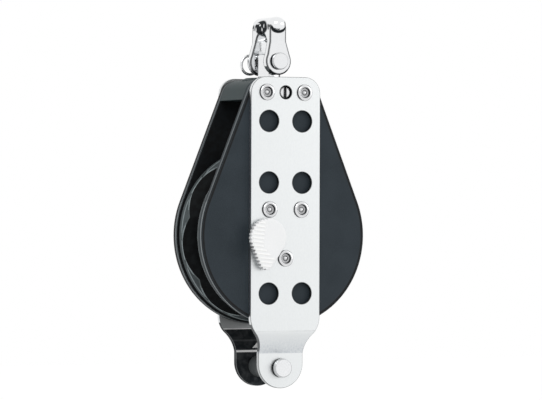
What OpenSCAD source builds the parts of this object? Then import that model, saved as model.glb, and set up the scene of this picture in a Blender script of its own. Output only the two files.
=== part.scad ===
// Ratchet block: one sheave on two rows of balls, a thumb switch for the pawl, a swivel shackle
// and a becket. X runs across the block, Y along the sheave's axle with the switch side at -Y, and
// Z up towards the shackle. The origin is the centre of the sheave. Millimetres.

/* [Sheave] */
// Outer diameter of the sheave
sheave_d = 75; // [70:0.5:90]
// Overall width of the sheave
sheave_w = 22; // [21:0.5:26]
// Width of the rope groove at the rim
groove_mouth = 16; // [14:0.5:16.5]
// Depth of the groove from the rim to the flats at its root
groove_depth = 9; // [7.5:0.25:10]
// Width of the flat at the root of the groove
groove_root = 8.5; // [7.5:0.5:9]
// Lean of the gripping facets, as half the gap gained for each millimetre outwards
groove_lean = 0.42; // [0.36:0.01:0.46]
// Number of gripping facets round the groove
groove_facets = 8; // [6:1:12]
// Direction of the first facet, from +X towards +Z
facet_turn = 10; // [0:1:45]
// Radius on the outer corners of the rim
rim_round = 0.8; // [0.3:0.1:1.5]

/* [Cheeks] */
// Thickness of a cheek
cheek_t = 3.2; // [2.6:0.1:4]
// How far a cheek reaches past the rim of the sheave
cheek_margin = 1; // [0.6:0.1:3]
// Gap between the sheave and each cheek
side_gap = 0.3; // [0.3:0.05:0.6]
// Lean of the cheek's shoulders from the vertical
shoulder_angle = 22; // [18:0.5:24]
// Height of the open rope window between the sheave and the head block
rope_room = 20.3; // [16:0.1:24]
// Height of the head block
head_h = 8.8; // [8:0.1:11]
// Corner radius at the top of the cheeks and the head block
head_corner = 7; // [5:0.5:8]
// Radius of the round boss on the head block
boss_r = 9.7; // [8.5:0.1:10.5]
// Height of that boss
boss_h = 1; // [0.6:0.1:1.2]

/* [Straps] */
// Thickness of the strap plate
strap_t = 2; // [1.5:0.1:2.5]
// Width of a strap
strap_w = 32.8; // [32:0.1:35]
// How far the straps stand above the cheeks
strap_rise = 1.1; // [0.5:0.1:1.3]
// Corner radius at the top of a strap
strap_corner = 7; // [4:0.5:8]
// Distance from the cheek's lowest point to the start of the step
step_drop = 1.9; // [1.5:0.1:4]
// Angle of the step between the plate and the becket tab
step_angle = 26; // [25:1:40]
// Radius of the bends, at the middle of the plate
bend_r = 3; // [2.5:0.5:4]
// Diameter of the six lightening holes
hole_d = 9.3; // [7:0.1:10]
// Distance of the lightening holes from the strap's centre line
hole_x = 7.85; // [7:0.05:9]
// Height of the upper pair of lightening holes
upper_hole_z = 48.8; // [46:0.1:51]
// Height of the middle pair of lightening holes
middle_hole_z = 22.6; // [20.5:0.1:40]
// Depth of the lower pair of lightening holes below the axle
lower_hole_drop = 24.7; // [23:0.1:26]

/* [Becket] */
// Width of the becket tabs
tab_w = 21; // [18:0.5:24]
// Clear distance between the becket tabs
tab_gap = 20.4; // [17:0.2:23]
// Radius of the widening from tab to strap
neck_r = 10.8; // [8:0.1:14]
// Distance of the widening's lower end below the cheek
neck_drop = 11; // [10:0.5:14]
// Diameter of the becket pin
becket_pin_d = 6; // [5:0.5:7]
// Diameter of the becket pin's head
becket_head_d = 8.1; // [8:0.1:10]
// Height of the becket pin's head
becket_head_h = 3; // [1.5:0.1:3.5]
// Distance of the becket pin below the cheek
becket_drop = 18.1; // [17:0.1:24]
// Metal left below the becket pin's centre
becket_foot = 8.7; // [7.5:0.1:10]
// Outer diameter of the becket sleeve
sleeve_d = 9.3; // [9:0.1:12]

/* [Swivel post] */
// Diameter of the post's head
post_head_d = 9.6; // [9:0.1:12]
// Diameter of the post's stem
post_stem_d = 8; // [7:0.1:8.5]
// Height of the post's head, from the boss to the top of its dome
post_head_h = 10.6; // [10:0.1:12]
// Height of the dome on the post's head
post_dome_h = 1; // [0.5:0.1:1.5]
// Diameter of the flange below the head block
post_flange_d = 13; // [11:0.5:15]
// Thickness of that flange
post_flange_t = 2.4; // [1.5:0.1:3]
// Thickness of the thrust washer
washer_t = 0.8; // [0.5:0.1:1.5]

/* [Shackle] */
// Diameter of the shackle pin
shackle_pin_d = 5; // [4:0.5:5.5]
// Height of the shackle pin's axis above the head block's boss
shackle_pin_z = 7.1; // [6.4:0.1:7.5]
// Radius of the shackle's eyes
eye_r = 5.9; // [5:0.05:5.9]
// Thickness of the shackle's arms
arm_t = 3.3; // [2.5:0.1:4]
// Width of the shackle's arms
arm_w = 7.7; // [6.5:0.1:8]
// Distance across the outside of the arms at the neck
neck_across = 17.6; // [16.5:0.1:19]
// Distance across the outside of the eyes
eyes_across = 19; // [18:0.1:22]
// Diameter of the bar that forms the crown
crown_d = 8; // [7:0.1:9]
// Distance from the pin's axis to the top of the crown
crown_reach = 19.1; // [18.5:0.1:24]
// How far the crown's ends stand proud of the arms
crown_proud = 2.2; // [1:0.1:2.5]
// Height of the crown's rounded ends
crown_end_h = 6.6; // [6:0.1:7.6]
// Metal between the inside of the arch and the top of the crown
crown_depth = 6.3; // [5:0.1:7]
// Diameter of the shackle pin's head
shackle_head_d = 7.3; // [7:0.1:9]
// Height of the shackle pin's head
shackle_head_h = 2; // [1.5:0.1:3]
// Thickness of the split rings' wire
ring_wire = 1.2; // [1:0.1:1.3]
// Radius of the split rings, at the middle of the wire
ring_r = 4; // [4:0.1:5]

/* [Fasteners] */
// Diameter of the rivets
rivet_d = 5; // [4:0.1:5.4]
// Diameter of the rivets' rolled heads
rivet_head_d = 7.2; // [6.6:0.1:7.2]
// Height of the rivets' rolled heads
rivet_head_h = 0.9; // [0.6:0.1:1.2]
// Diameter of the dimple in a rivet's head
dimple_d = 3.6; // [3:0.1:4]
// Depth of that dimple
dimple_h = 1.3; // [0.8:0.1:2.5]
// Distance of the head rivets from the centre line
head_rivet_x = 8.9; // [8:0.1:9.5]
// Distance of the head rivets below the top of the cheeks
head_rivet_drop = 5.5; // [5:0.1:6]
// Distance of the upper hub rivets from the centre line
hub_rivet_x = 7.5; // [7.4:0.1:9]
// Height of the upper hub rivets above the axle
hub_rivet_z = 11.1; // [10.8:0.1:12]
// Distance of the lower hub rivet below the axle
low_rivet_drop = 9.7; // [8:0.1:11]
// Diameter of the set screw
set_screw_d = 4.6; // [4:0.1:5]
// How far the set screw sits below the strap's face
set_screw_sunk = 0.8; // [0.3:0.1:1.5]
// Width of the slot in the set screw
slot_w = 1; // [0.6:0.1:1.4]
// Diameter of the hole over the set screw
screw_hole_d = 5.8; // [5.4:0.1:6.2]

/* [Bearing] */
// Diameter of the bearing balls
ball_d = 6.35; // [5:0.05:6.5]
// Radius of the circle on which the balls' centres run
ball_circle_r = 20.5; // [20:0.1:21]
// Half the open space between the hub and the sheave
race_gap = 1.9; // [1.5:0.1:2]
// Place of the front row of balls along the axle
front_row_y = -2.2; // [-2.4:0.1:-2]
// Place of the rear row of balls along the axle
rear_row_y = 5.5; // [5:0.1:6.5]

/* [Ratchet] */
// Number of teeth in the ratchet ring
ratchet_teeth = 24; // [24:12:24]
// Height of the ratchet teeth, from tip to root
tooth_h = 2.3; // [2.2:0.1:2.6]
// Metal left outside the roots of the ratchet teeth
ring_wall = 3; // [2:0.5:5]
// Depth of the pocket that holds the ratchet ring
pocket_h = 4.5; // [4.4:0.1:5]
// Distance of the pawl's pivot left of the axle
pawl_x = 10; // [9.8:0.1:10.2]
// Distance of the pawl's pivot inside the edge of the hub
pawl_inset = 1.15; // [1.1:0.05:1.4]
// Distance of the pawl's tip from the tooth roots, when it is in the teeth
tip_room = 0.98; // [0.9:0.02:1.3]
// Direction of the pawl at rest, from +X towards +Z
pawl_angle = 148; // [146:0.5:148]
// Swing of the pawl from rest into the teeth
pawl_swing = 12; // [10:0.5:12]
// Gap between the pawl's tail and the crank's pin at rest
tail_gap = 0.38; // [0.3:0.02:0.5]
// Thickness of the pawl
pawl_t = 2.9; // [2.5:0.1:3]
// Diameter of the pawl's pin
pawl_pin_d = 3; // [2.5:0.1:3.2]
// Thickness of the pawl's leaf spring
leaf_t = 0.4; // [0.3:0.05:0.6]

/* [Switch] */
// Distance of the switch's axis left of the centre line
switch_x = 9.6; // [9.3:0.1:9.7]
// Distance of the switch's axis below the axle
switch_drop = 1; // [0.7:0.1:1.1]
// Radius of the round part of the thumb lever
knob_r = 8.4; // [7:0.1:8.6]
// Radius of the lever's tip
knob_tip_r = 3.3; // [3:0.1:4]
// Distance from the lever's axis to the centre of its tip
knob_reach = 10.4; // [9:0.1:11]
// Lean of the lever's tail away from the axle
knob_cant = 5.5; // [0:0.5:10]
// Thickness of the lever
knob_t = 2.4; // [2:0.1:3]
// Height of the grip ridges on the lever's face
ridge_h = 0.4; // [0.2:0.1:0.6]
// Distance of the grip ridges left of the lever's axis
ridge_x = 2.1; // [1:0.1:3]
// Spacing of the notches and ridges
knob_pitch = 1.65; // [1.4:0.05:2]
// Diameter of the lever's shaft
shaft_d = 8; // [7:0.1:8.4]
// Radius of the crank behind the lever
crank_r = 3.8; // [3.6:0.1:4]
// Diameter of the crank's pin
crank_pin_d = 2.4; // [2:0.1:2.4]

/* [Fits] */
// Radial clearance of parts that turn on each other
run_gap = 0.05; // [0.02:0.01:0.1]
// Radial clearance of parts that are fixed in each other
seat_gap = 0.02; // [0.01:0.01:0.05]
// Clearance between parts that only pass each other
pass_gap = 0.3; // [0.3:0.05:0.4]

/* [Hidden] */
$fn = 96;
tiny = 0.01;
far = 200;

// Planes across the block, each the same on both sides
sheave_r = sheave_d / 2;
cheek_in = sheave_w / 2 + side_gap;
cheek_out = cheek_in + cheek_t;
strap_out = cheek_out + strap_t;
tab_in = tab_gap / 2;
tab_out = tab_in + strap_t;

// Heights
cheek_r = sheave_r + cheek_margin;
head_low = sheave_r + rope_room;
head_top = head_low + head_h;
boss_top = head_top + boss_h;
strap_top = head_top + strap_rise;
step_top = -cheek_r - step_drop;
neck_end = -cheek_r - neck_drop;
becket_z = -cheek_r - becket_drop;
tab_end = becket_z - becket_foot;
pin_z = boss_top + shackle_pin_z;
crown_top = pin_z + crown_reach;
head_rivet_z = head_top - head_rivet_drop;

// Top corners of the cheeks: circles that touch the top and the leaning shoulder
corner_z = head_top - head_corner;
corner_x = (cheek_r - head_corner - corner_z * sin(shoulder_angle)) / cos(shoulder_angle);

// Groove: half the gap at a facet is lean times (distance along the facet's normal less this)
root_r = sheave_r - groove_depth;
lean_zero = root_r - groove_root / 2 / groove_lean;
facet_step = 360 / groove_facets;

// Bearing
ball_r = ball_d / 2;
hub_r = ball_circle_r - race_gap;
bore_r = ball_circle_r + race_gap;
race_r = ball_r + 2 * run_gap;
balls_in_row = floor(2 * PI * ball_circle_r / (ball_d + pass_gap));

// Ratchet: everything here lies between the front cheek and the hub's front face
hub_front = -sheave_w / 2 + pocket_h;
crank_front = -cheek_in + pass_gap;
crank_t = 0.8;
pawl_front = crank_front + crank_t + pass_gap;
pawl_back = pawl_front + pawl_t;
pawl_drop = sqrt(pow(hub_r - pawl_inset, 2) - pow(pawl_x, 2));
pivot = [-pawl_x, -pawl_drop];
switch_axis = [-switch_x, -switch_drop];
tooth_tip_r = bore_r + pass_gap;
tooth_root_r = tooth_tip_r + tooth_h;
ratchet_ring_r = tooth_root_r + ring_wall;
engaged = [cos(pawl_angle + pawl_swing), sin(pawl_angle + pawl_swing)];
pawl_reach = sqrt(pow(pivot * engaged, 2) - pivot * pivot + pow(tooth_root_r - tip_room, 2))
             - pivot * engaged;
tail_half = 0.8;
crank_pin_at = switch_axis - [0, crank_r];
tail_tip = crank_pin_at + [crank_pin_d / 2 + tail_half + tail_gap, 0] - pivot;
tail_angle = atan2(tail_tip[1], tail_tip[0]);
tail_reach = norm(tail_tip) + tail_half;
engaged_tip = pivot + pawl_reach * engaged;
tooth_phase = atan2(engaged_tip[1], engaged_tip[0]);
tooth_step = 360 / ratchet_teeth;
pawl_boss_r = pawl_pin_d / 2 + 1.3;
hub_boss_r = 4.5;
pin_sunk = 1.7;
pin_back = front_row_y - ball_r;

// Heads of the post, pins and rivets
stem_r = post_stem_d / 2;
dimples = 4;
collar_back = -strap_out - pass_gap;
knob_back = -strap_out - rivet_head_h - pass_gap;
knob_front = knob_back - knob_t;
knob_lean = asin((knob_r - knob_tip_r) / knob_reach);
collar_r = knob_r - 2;
notch_r = knob_pitch * 0.3;
pin_tail = 3.2;
ring_hole_r = ring_wire / 2 + 0.7;
spread_low = pin_z + 3;
spread_high = pin_z + 9;

// A flat shape drawn in X and Z, thickened from y0 to y1
module slab(y0, y1) {
    translate([0, y1, 0]) rotate([90, 0, 0]) linear_extrude(y1 - y0) children();
}

// A profile drawn in Y and Z, thickened to the width w across X
module beam(w) {
    translate([-w / 2, 0, 0]) rotate([90, 0, 90]) linear_extrude(w) children();
}

// A round bar along Y
module rod(r, y0, y1, at = [0, 0]) {
    translate([at[0], y1, at[1]]) rotate([90, 0, 0]) cylinder(r = r, h = y1 - y0);
}

// A profile drawn as radius and Y, turned about the Y axis
module turned(at = [0, 0]) {
    translate([at[0], 0, at[1]]) rotate([-90, 0, 0]) rotate_extrude() children();
}

function arc(c, r, a0, a1, n = 10) = [for (i = [0:n]) c + r * [cos(a0 + (a1 - a0) * i / n),
                                                               sin(a0 + (a1 - a0) * i / n)]];
function polar(r, a) = [r * cos(a), r * sin(a)];

// Places of the rivets
hub_rivet_at = [[-hub_rivet_x, hub_rivet_z], [hub_rivet_x, hub_rivet_z], [0, -low_rivet_drop]];
head_rivet_at = [[-head_rivet_x, head_rivet_z], [head_rivet_x, head_rivet_z]];

module rivet_holes(y0, y1) {
    for (p = concat(hub_rivet_at, head_rivet_at)) rod(rivet_d / 2 + seat_gap, y0, y1, p);
}

// Outline of a cheek: rounded head, leaning shoulders and the round foot, counterclockwise
module cheek_outline() {
    lean = shoulder_angle;
    polygon(concat(
        arc([corner_x, corner_z], head_corner, lean, 90),
        arc([-corner_x, corner_z], head_corner, 90, 180 - lean),
        arc([0, 0], cheek_r, 180 - lean, 360 + lean, 90)));
}

// Outline of a strap: round foot, tab, an S curve out to the full width and the rounded top
module strap_outline() {
    half = strap_w / 2;
    tab = tab_w / 2;
    sweep = acos(1 - (half - tab) / 2 / neck_r);
    neck_top = neck_end + 2 * neck_r * sin(sweep);
    top = [half - strap_corner, strap_top - strap_corner];
    polygon(concat(
        arc([0, tab_end + tab], tab, 180, 360, 36),
        arc([tab + neck_r, neck_end], neck_r, 180, 180 - sweep),
        arc([half - neck_r, neck_top], neck_r, -sweep, 0),
        arc(top, strap_corner, 0, 90),
        arc([-top[0], top[1]], strap_corner, 90, 180),
        arc([neck_r - half, neck_top], neck_r, 180, 180 + sweep),
        arc([-tab - neck_r, neck_end], neck_r, sweep, 0)));
}

// Side profile of the front strap: plate, step inwards and becket tab
module strap_profile() {
    drop = (cheek_out - tab_in);
    turn = bend_r * (1 - cos(step_angle));
    run = (drop - 2 * turn) / sin(step_angle);
    outer = bend_r + strap_t / 2;
    inner = bend_r - strap_t / 2;
    mid = -cheek_out - strap_t / 2;
    upper = [mid + bend_r, step_top];
    lower = [mid + drop - bend_r, step_top - 2 * bend_r * sin(step_angle) - run * cos(step_angle)];
    polygon(concat(
        [[-strap_out, strap_top]],
        arc(upper, outer, 180, 180 + step_angle),
        arc(lower, inner, step_angle, 0),
        [[-tab_out, tab_end], [-tab_in, tab_end]],
        arc(lower, outer, 0, step_angle),
        arc(upper, inner, 180 + step_angle, 180),
        [[-cheek_out, strap_top]]));
}

module strap_plate() {
    difference() {
        intersection() {
            beam(strap_w) strap_profile();
            slab(-strap_out, 0) strap_outline();
        }
        rivet_holes(-far, 0);
        for (x = [-hole_x, hole_x], z = [upper_hole_z, middle_hole_z, -lower_hole_drop])
            rod(hole_d / 2, -far, 0, [x, z]);
        rod(becket_pin_d / 2 + seat_gap, -far, 0, [0, becket_z]);
    }
}

module front_strap() {
    color("gainsboro") difference() {
        strap_plate();
        rod(shaft_d / 2 + run_gap, -far, 0, switch_axis);
        rod(screw_hole_d / 2, -far, 0, [0, head_rivet_z]);
    }
}

module rear_strap() {
    color("gainsboro") mirror([0, 1, 0]) strap_plate();
}

module front_cheek() {
    color("#3a4046") difference() {
        slab(-cheek_out, -cheek_in) cheek_outline();
        rivet_holes(-far, 0);
        rod(shaft_d / 2 + run_gap, -far, 0, switch_axis);
        rod(set_screw_d / 2 + seat_gap, -far, 0, [0, head_rivet_z]);
        rod(pawl_pin_d / 2 + seat_gap, -cheek_in - pin_sunk - tiny, 0, pivot);
    }
}

module rear_cheek() {
    color("#3a4046") difference() {
        slab(cheek_in, cheek_out) cheek_outline();
        rivet_holes(0, far);
    }
}

// The boss rises from the block's top in an S curve
module head_boss() {
    flare = 2 * boss_h;
    reach = sqrt(flare * flare - pow(flare - boss_h / 2, 2));
    skirt = boss_r + 2 * reach;
    bend = asin(reach / flare);
    translate([0, 0, head_top]) rotate_extrude() polygon(concat(
        [[0, -1], [skirt, -1]],
        arc([skirt, flare], flare, 270, 270 - bend, 6),
        arc([boss_r, boss_h - flare], flare, 90 - bend, 90, 6),
        [[0, boss_h]]));
}

module head_block() {
    color("#4c5456") difference() {
        union() {
            intersection() {
                slab(-cheek_in, cheek_in) cheek_outline();
                translate([-far / 2, -far / 2, head_low]) cube([far, far, head_h]);
            }
            intersection() {
                head_boss();
                slab(-cheek_in, cheek_in) translate([-far / 2, 0]) square([far, far]);
            }
        }
        rivet_holes(-far, far);
        translate([0, 0, head_low - 1]) cylinder(r = stem_r + run_gap, h = far);
        rod(set_screw_d / 2 + seat_gap, -far, 0, [0, head_rivet_z]);
    }
}

// A tubular rivet with a rolled head and a dimple at each end
module rivet(at) {
    roll_r = rivet_head_d / 2 - rivet_head_h;
    turned(at) difference() {
        union() {
            translate([0, -strap_out]) square([rivet_d / 2, 2 * strap_out]);
            for (s = [-1, 1]) intersection() {
                translate([roll_r, s * strap_out]) circle(r = rivet_head_h, $fn = 48);
                translate([0, s > 0 ? strap_out : -far]) square([far, far - strap_out]);
            }
        }
        for (s = [-1, 1]) translate([-1, s > 0 ? strap_out - dimple_h : -far])
            square([dimple_d / 2 + 1, far - strap_out + dimple_h]);
    }
}

module head_rivets() {
    color("silver") for (p = head_rivet_at) rivet(p);
}

module hub_rivets() {
    color("silver") for (p = hub_rivet_at) rivet(p);
}

// The set screw stands clear of the post, so the post is free to swivel
module set_screw() {
    face = -strap_out + set_screw_sunk;
    color("gray") difference() {
        rod(set_screw_d / 2, face, -stem_r - 1.7 * pass_gap, [0, head_rivet_z]);
        translate([-slot_w / 2, face - 1, head_rivet_z - set_screw_d])
            cube([slot_w, 2.2, 2 * set_screw_d]);
    }
}

// Hub: the fixed disc that carries the balls, with a boss round each rivet
module hub() {
    color("dimgray") difference() {
        union() {
            rod(hub_r, hub_front, cheek_in);
            for (p = hub_rivet_at) rod(hub_boss_r, -cheek_in, hub_front, p);
        }
        rivet_holes(-far, far);
        for (y = [front_row_y, rear_row_y])
            turned() translate([ball_circle_r, y]) circle(r = race_r, $fn = 64);
        rod(pawl_pin_d / 2 + seat_gap, -cheek_in, pin_back + tiny, pivot);
        slab(pawl_front - pass_gap, hub_front - tiny) leaf_strip(leaf_t / 2 + seat_gap);
    }
}

// One facet cuts a straight V across the groove
module facet_cut() {
    reach = sheave_r + 2;
    half = groove_lean * (reach - lean_zero);
    translate([0, 0, -sheave_r]) linear_extrude(sheave_d) polygon([
        [root_r, -groove_root / 2], [reach, -half], [reach, half], [root_r, groove_root / 2]]);
}

module sheave_profile() {
    side = sheave_w / 2;
    mouth = groove_mouth / 2;
    corner = [sheave_r - rim_round, side - rim_round];
    difference() {
        union() {
            polygon([[ratchet_ring_r + seat_gap, -side], [corner[0], -side],
                     [sheave_r, -corner[1]], [sheave_r, corner[1]], [corner[0], side],
                     [bore_r, side], [bore_r, hub_front], [ratchet_ring_r + seat_gap, hub_front]]);
            for (s = [-1, 1]) translate([corner[0], s * corner[1]]) circle(r = rim_round);
        }
        polygon([[sheave_r - mouth, 0], [sheave_r + 1, -mouth - 1], [sheave_r + 1, mouth + 1]]);
        for (y = [front_row_y, rear_row_y])
            translate([ball_circle_r, y]) circle(r = race_r, $fn = 64);
    }
}

module sheave() {
    color("#24282c") difference() {
        turned() sheave_profile();
        for (i = [0:groove_facets - 1]) rotate([0, -facet_turn - i * facet_step, 0]) facet_cut();
    }
}

// One gap between two ratchet teeth, steep on the side that the pawl's tip pushes against
module tooth_gap(a) {
    polygon([polar(tooth_tip_r - 0.2, a - 3.5), polar(tooth_root_r, a - 3),
             polar(tooth_root_r, a), polar(tooth_tip_r - 0.2, a + 9.3)]);
}

module ratchet_ring() {
    color("goldenrod") slab(-sheave_w / 2, hub_front) difference() {
        circle(r = ratchet_ring_r, $fn = 144);
        circle(r = tooth_tip_r, $fn = 144);
        for (i = [0:ratchet_teeth - 1]) tooth_gap(tooth_phase + i * tooth_step);
    }
}

module ball_row(y) {
    for (i = [0:balls_in_row - 1]) {
        p = polar(ball_circle_r, i * 360 / balls_in_row);
        translate([p[0], y, p[1]]) sphere(d = ball_d, $fn = 32);
    }
}

module front_balls() { color("lightsteelblue") ball_row(front_row_y); }

module rear_balls() { color("lightsteelblue") ball_row(rear_row_y); }

// Pawl, at rest clear of the teeth: a boss on its pin, a straight tail and a pointed nose
module pawl_outline() {
    nose = polar(1, pawl_angle);
    out = polar(1, pawl_angle + 90);
    tail_in = asin(tail_half / pawl_boss_r);
    translate(pivot) polygon(concat(
        arc([0, 0], pawl_boss_r, pawl_angle + 70, 360 + tail_angle - tail_in, 18),
        arc(polar(tail_reach - tail_half, tail_angle), tail_half, tail_angle - 90, tail_angle + 90, 6),
        arc([0, 0], pawl_boss_r, tail_angle + tail_in, pawl_angle - 50, 2),
        [pawl_reach / 2 * nose - 1.8 * out, pawl_reach * nose - 0.6 * out,
         pawl_reach * nose + 0.4 * out, 0.65 * pawl_reach * nose + 1.1 * out]));
}

module pawl() {
    color("darkkhaki") difference() {
        slab(pawl_front, pawl_back) pawl_outline();
        rod(pawl_pin_d / 2 + run_gap, -far, far, pivot);
    }
}

module pawl_pin() {
    color("silver") rod(pawl_pin_d / 2, -cheek_in - pin_sunk, pin_back, pivot);
}

// Leaf spring, from a slot in the lower boss to the right flank of the pawl's tail
module leaf_strip(half) {
    along = polar(1, tail_angle);
    across = polar(1, tail_angle - 90);
    tip = pivot + (tail_reach - 2.2) * along + (tail_half + pass_gap / 2 + leaf_t / 2) * across;
    foot = hub_rivet_at[2] + polar(rivet_d / 2 + 0.5, 128);
    dir = (tip - foot) / norm(tip - foot);
    side = [-dir[1], dir[0]];
    polygon([foot + half * side, tip + half * side, tip - half * side, foot - half * side]);
}

module pawl_spring() {
    color("steelblue") slab(pawl_front, pawl_back) leaf_strip(leaf_t / 2);
}

// Thumb lever, drawn about its own axis with the tip below
module knob_outline(inset = 0) {
    side = [cos(knob_lean), -sin(knob_lean)];
    a = (knob_r - inset) * side;
    b = [0, -knob_reach] + (knob_tip_r - inset) * side;
    circle(r = knob_r - inset);
    translate([0, -knob_reach]) circle(r = knob_tip_r - inset);
    polygon([a, b, [-b[0], b[1]], [-a[0], a[1]]]);
}

// Centres of the rim notches: round the left of the disc, down the tail and round its tip
function notch_places() =
    let (disc_turn = 80 + knob_lean,
         disc_n = round(knob_r * disc_turn * PI / 180 / knob_pitch),
         side_len = knob_reach * cos(knob_lean),
         side_n = round(side_len / knob_pitch),
         tip_turn = 90 - knob_lean,
         tip_n = round(knob_tip_r * tip_turn * PI / 180 / knob_pitch),
         start = -knob_r * [cos(knob_lean), sin(knob_lean)])
    concat(
        [for (i = [0:disc_n]) polar(knob_r, 100 + i * disc_turn / disc_n)],
        [for (i = [1:side_n - 1]) start + [sin(knob_lean), -cos(knob_lean)] * side_len * i / side_n],
        [for (i = [0:tip_n]) [0, -knob_reach] + polar(knob_tip_r, 180 + knob_lean + i * tip_turn / tip_n)]
    );

// Grip ridges: beside the axis on the left, and over the whole tail
module grip_ridges() {
    intersection() {
        knob_outline(notch_r + tiny);
        polygon([[-knob_r, knob_r], [-ridge_x, knob_r], [-ridge_x, -knob_r / 2],
                 [knob_tip_r, -knob_r], [knob_tip_r, -2 * knob_r], [-knob_r, -2 * knob_r]]);
        for (z = [-knob_reach - knob_tip_r:knob_pitch:knob_r])
            translate([-knob_r, z]) square([2 * knob_r, knob_pitch / 2]);
    }
}

// The lever turns above the rivet heads; a collar fills the space between it and the strap
module switch_knob() {
    color("white") translate([switch_axis[0], 0, switch_axis[1]]) {
        rotate([0, knob_cant, 0]) {
            difference() {
                slab(knob_front, knob_back) knob_outline();
                for (p = notch_places()) rod(notch_r, -far, 0, p);
            }
            slab(knob_front - ridge_h, knob_front) grip_ridges();
        }
        rod(collar_r, knob_back, collar_back);
        rod(shaft_d / 2, collar_back, crank_front);
        rod(shaft_d / 4, crank_front, crank_front + crank_t);
    }
}

module switch_crank() {
    color("peru") translate([switch_axis[0], 0, switch_axis[1]]) {
        difference() {
            rod(crank_r + crank_pin_d / 2 + 0.4, crank_front, crank_front + crank_t);
            rod(shaft_d / 4 + seat_gap, -far, far);
        }
        rod(crank_pin_d / 2, crank_front + crank_t, pawl_back, [0, -crank_r]);
    }
}

// Post: domed head, stem through the head block, flange under the washer
module swivel_post() {
    head_r = post_head_d / 2;
    top = boss_top + pass_gap + post_head_h;
    dome_r = (head_r * head_r + post_dome_h * post_dome_h) / (2 * post_dome_h);
    flange_top = head_low - washer_t - 2 * tiny;
    color("lightgray") difference() {
        union() {
            intersection() {
                translate([0, 0, boss_top + pass_gap]) cylinder(r = head_r, h = post_head_h);
                translate([0, 0, top - dome_r]) sphere(r = dome_r);
            }
            translate([0, 0, flange_top - 1])
                cylinder(r = stem_r, h = boss_top + pass_gap + 2 - flange_top);
            translate([0, 0, flange_top - post_flange_t])
                cylinder(d = post_flange_d, h = post_flange_t);
        }
        rod(shackle_pin_d / 2 + seat_gap, -far, far, [0, pin_z]);
        for (i = [0:dimples - 1]) rotate([0, 0, i * 360 / dimples])
            rod(set_screw_d / 2 + run_gap, -far, -stem_r + 0.7, [0, head_rivet_z]);
    }
}

module thrust_washer() {
    color("ivory") translate([0, 0, head_low - washer_t - tiny]) difference() {
        cylinder(d = post_flange_d, h = washer_t);
        translate([0, 0, -1]) cylinder(r = stem_r + run_gap, h = washer_t + 2);
    }
}

// Front view of the shackle's arms: a round eye that narrows to the neck
module arm_outline() {
    half = arm_w / 2;
    rise = 8.5;
    lean = 90 - atan2(rise, half) - acos(eye_r / norm([half, rise]));
    touch = polar(eye_r, lean < 0 ? -lean : 0);
    translate([0, pin_z]) {
        circle(r = eye_r);
        polygon([[-touch[0], touch[1]], [-half, rise], [half, rise], touch]);
        translate([-half, rise - tiny]) square([arm_w, crown_reach - crown_d / 2 - rise]);
    }
}

// Side view of one arm: straight at the neck, spread a little towards the eye
module arm_profile() {
    neck = neck_across / 2;
    eye = eyes_across / 2;
    foot = pin_z - eye_r - 1;
    top = crown_top - crown_d / 2;
    polygon([[eye, foot], [eye, spread_low], [neck, spread_high], [neck, top], [0, top],
             [0, spread_high], [neck - arm_t, spread_high], [eye - arm_t, spread_low],
             [eye - arm_t, foot]]);
}

module shackle() {
    bar_r = crown_d / 2;
    bar_z = crown_top - bar_r;
    arch_r = neck_across / 2 - arm_t;
    end_y = neck_across / 2 + crown_proud - bar_r;
    color("whitesmoke") difference() {
        union() {
            intersection() {
                beam(far) union() { arm_profile(); mirror([1, 0]) arm_profile(); }
                slab(-far / 2, far / 2) arm_outline();
            }
            rod(bar_r, -end_y, end_y, [0, bar_z]);
            for (s = [-1, 1]) translate([0, s * end_y, crown_top - crown_end_h / 2])
                scale([1, 1, crown_end_h / crown_d]) sphere(r = bar_r);
        }
        translate([-far / 2, 0, crown_top - crown_depth - arch_r]) rotate([0, 90, 0])
            cylinder(r = arch_r, h = far);
        translate([-far / 2, -arch_r, spread_high - tiny])
            cube([far, 2 * arch_r, crown_top - crown_depth - arch_r - spread_high]);
        rod(shackle_pin_d / 2 + run_gap, -far, far, [0, pin_z]);
    }
}

// Place of a split ring's centre, beside the pin that it passes through
function ring_offset(a) = polar(ring_r, a);

// A headed pin along Y whose tail is cross drilled for a split ring
module headed_pin(d, head_d, head_h, face, z, ring_a) {
    hole_at = ring_offset(ring_a) * (1 - (ring_r - ring_wire / 4) / ring_r);
    tail_y = face + pin_tail;
    difference() {
        union() {
            rod(d / 2, -face - head_h / 2, tail_y, [0, z]);
            rod(head_d / 2, -face - head_h, -face, [0, z]);
        }
        translate([0, face + pin_tail / 2, z]) rotate([0, 90 - ring_a, 0])
            translate([-far / 2, 0, ring_wire / 4]) rotate([0, 90, 0])
                cylinder(r = ring_hole_r, h = far);
    }
}

module split_ring(face, z, ring_a) {
    p = ring_offset(ring_a);
    translate([p[0], face + pin_tail / 2, z + p[1]]) rotate([90, 0, 0])
        rotate_extrude() translate([ring_r, 0]) circle(d = ring_wire, $fn = 32);
}

shackle_ring_a = 195;
becket_ring_a = 250;

module shackle_pin() {
    color("silver") headed_pin(shackle_pin_d, shackle_head_d, shackle_head_h, eyes_across / 2,
                               pin_z, shackle_ring_a);
}

module shackle_ring() {
    color("silver") split_ring(eyes_across / 2, pin_z, shackle_ring_a);
}

module becket_pin() {
    color("silver") headed_pin(becket_pin_d, becket_head_d, becket_head_h, tab_out, becket_z,
                               becket_ring_a);
}

module becket_ring() {
    color("silver") split_ring(tab_out, becket_z, becket_ring_a);
}

module becket_sleeve() {
    color("dimgray") difference() {
        rod(sleeve_d / 2, -tab_in + pass_gap, tab_in - pass_gap, [0, becket_z]);
        rod(becket_pin_d / 2 + run_gap, -far, far, [0, becket_z]);
    }
}

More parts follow.
